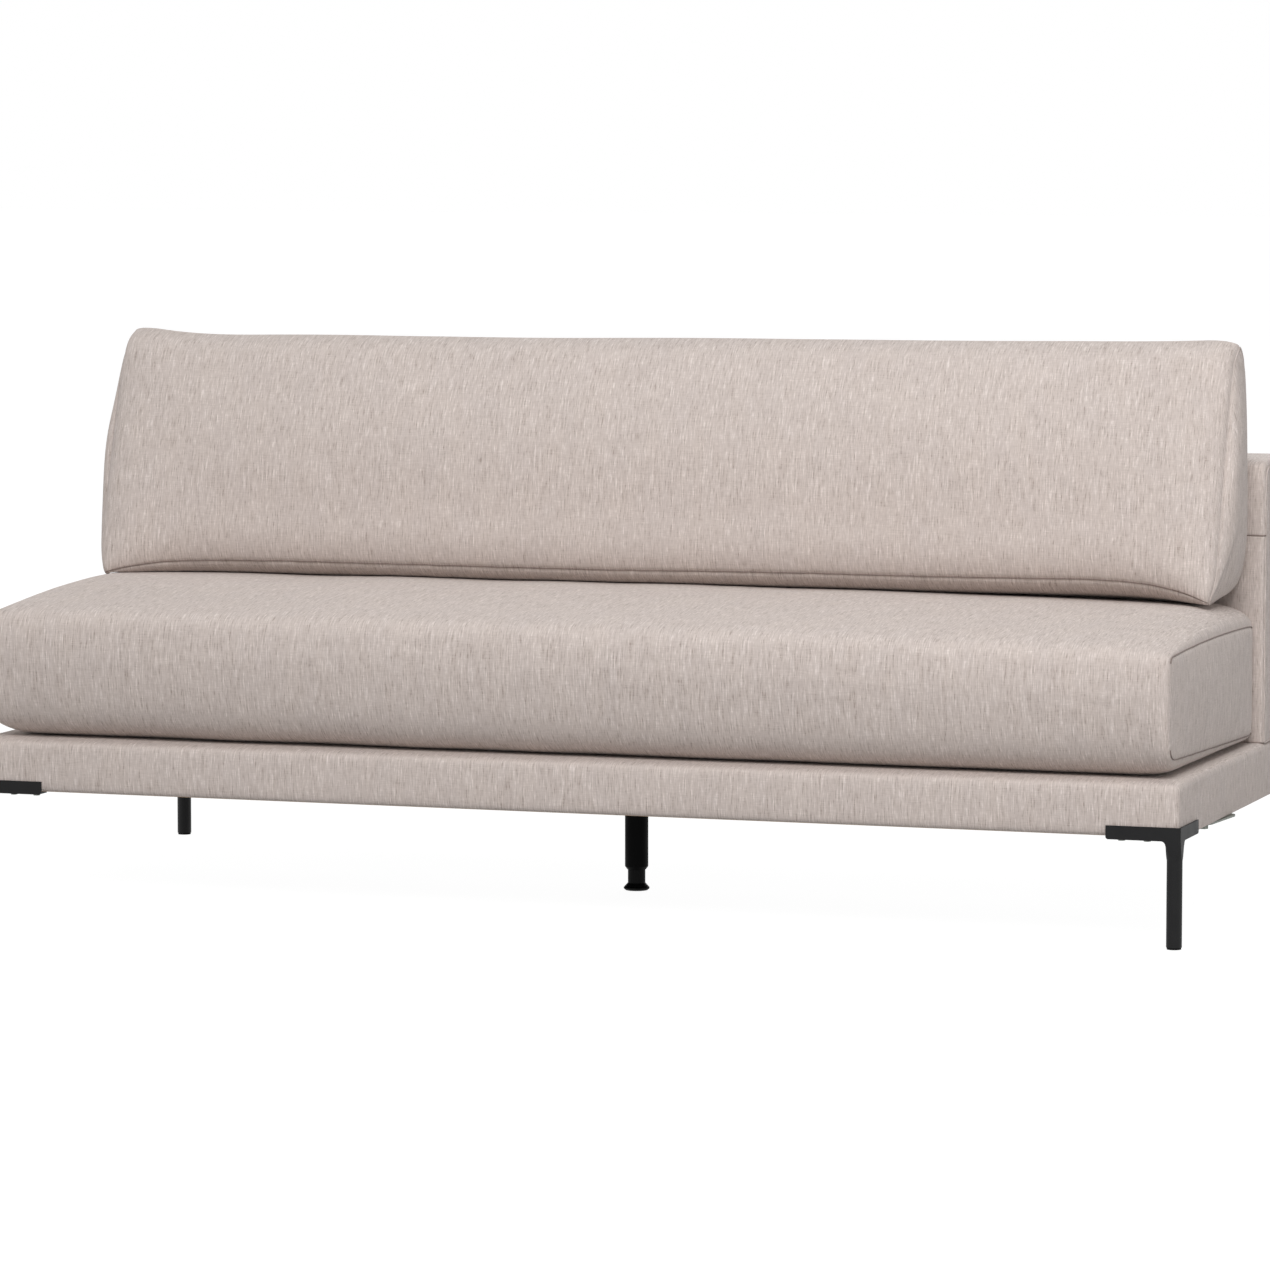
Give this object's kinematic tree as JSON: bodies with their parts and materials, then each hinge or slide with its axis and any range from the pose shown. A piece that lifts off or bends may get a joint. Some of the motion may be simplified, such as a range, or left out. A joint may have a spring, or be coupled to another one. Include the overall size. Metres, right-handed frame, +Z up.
{
  "type": "dining banquette",
  "caption": "Armless upholstered dining banquette: low bench base on black steel corner legs, deep low backrest, loose seat and back cushions.",
  "frame": {"origin": "middle of the footprint, on the floor", "axes": "+X to the right-hand end as seen by someone facing the seat, +Y to the back, +Z up"},
  "size_m": [2.0041, 0.8438, 0.899],
  "materials": {
    "upholstery fabric": "warm greige melange weave with upright slub threads, matt",
    "foam": "open-cell foam, matt",
    "fibre filling": "soft white fibre",
    "timber": "planed softwood",
    "board": "raw wood board",
    "webbing": "elastic woven strap",
    "dust cover cloth": "black nonwoven cloth",
    "zip": "woven tape with plastic coil",
    "black steel": "black powder coat, satin",
    "zinc steel": "dull zinc plate",
    "black plastic": "moulded, matt"
  },
  "bodies": {
    "frame": {"base_cover": "upholstery fabric", "backrest_cover": "upholstery fabric", "base_padding": "foam", "backrest_padding": "foam", "base_front_rail": "timber", "base_rear_rail": "timber", "base_left_rail": "timber", "base_right_rail": "timber", "base_backrest_rail": "timber", "base_left_cross_rail": "timber", "base_centre_cross_rail": "timber", "base_right_cross_rail": "timber", "base_corner_blocks": "timber", "backrest_bottom_front_rail": "timber", "backrest_bottom_rear_rail": "timber", "backrest_left_end_panel": "board", "backrest_right_end_panel": "board", "backrest_left_rib": "board", "backrest_centre_rib": "board", "backrest_right_rib": "board", "backrest_top_board": "board", "backrest_front_board": "board", "backrest_rear_board": "board", "seat_webbing": "webbing", "dust_cover": "dust cover cloth", "front_left_leg": "black steel", "front_right_leg": "black steel", "rear_left_leg": "black steel", "rear_right_leg": "black steel", "centre_leg_sleeve": "black steel", "backrest_bolts": "zinc steel", "bolt_washers": "zinc steel", "backrest_nuts": "zinc steel", "leg_screws": "zinc steel", "centre_leg_screws": "zinc steel", "link_pivot_bolt": "zinc steel", "leg_glides": "black plastic"},
    "seat_cushion": {"seat_cushion_cover": "upholstery fabric", "seat_cushion_core": "foam", "seat_cushion_zip": "zip"},
    "back_cushion": {"back_cushion_cover": "upholstery fabric", "back_cushion_filling": "fibre filling", "back_cushion_zip": "zip"},
    "centre_foot": {"centre_leg_foot": "black plastic"},
    "link": {"link_plate": "zinc steel"}
  },
  "joints": [
    {"name": "seat_cushion_lift", "type": "slide", "parent": "frame", "child": "seat_cushion", "axis": [0, 0, 1], "range_m": [0, 0.15]},
    {"name": "back_cushion_lift", "type": "slide", "parent": "seat_cushion", "child": "back_cushion", "axis": [0, 0, 1], "range_m": [0, 0.25]},
    {"name": "centre_foot_height", "type": "slide", "parent": "frame", "child": "centre_foot", "axis": [0, 0, 1], "range_m": [-0.02, 0.02]},
    {"name": "link_swing", "type": "hinge", "parent": "frame", "child": "link", "pos_m": [0.9795, -0.1835, 0.1662], "axis": [0, 0, -1], "range_deg": [-5, 85]}
  ]
}
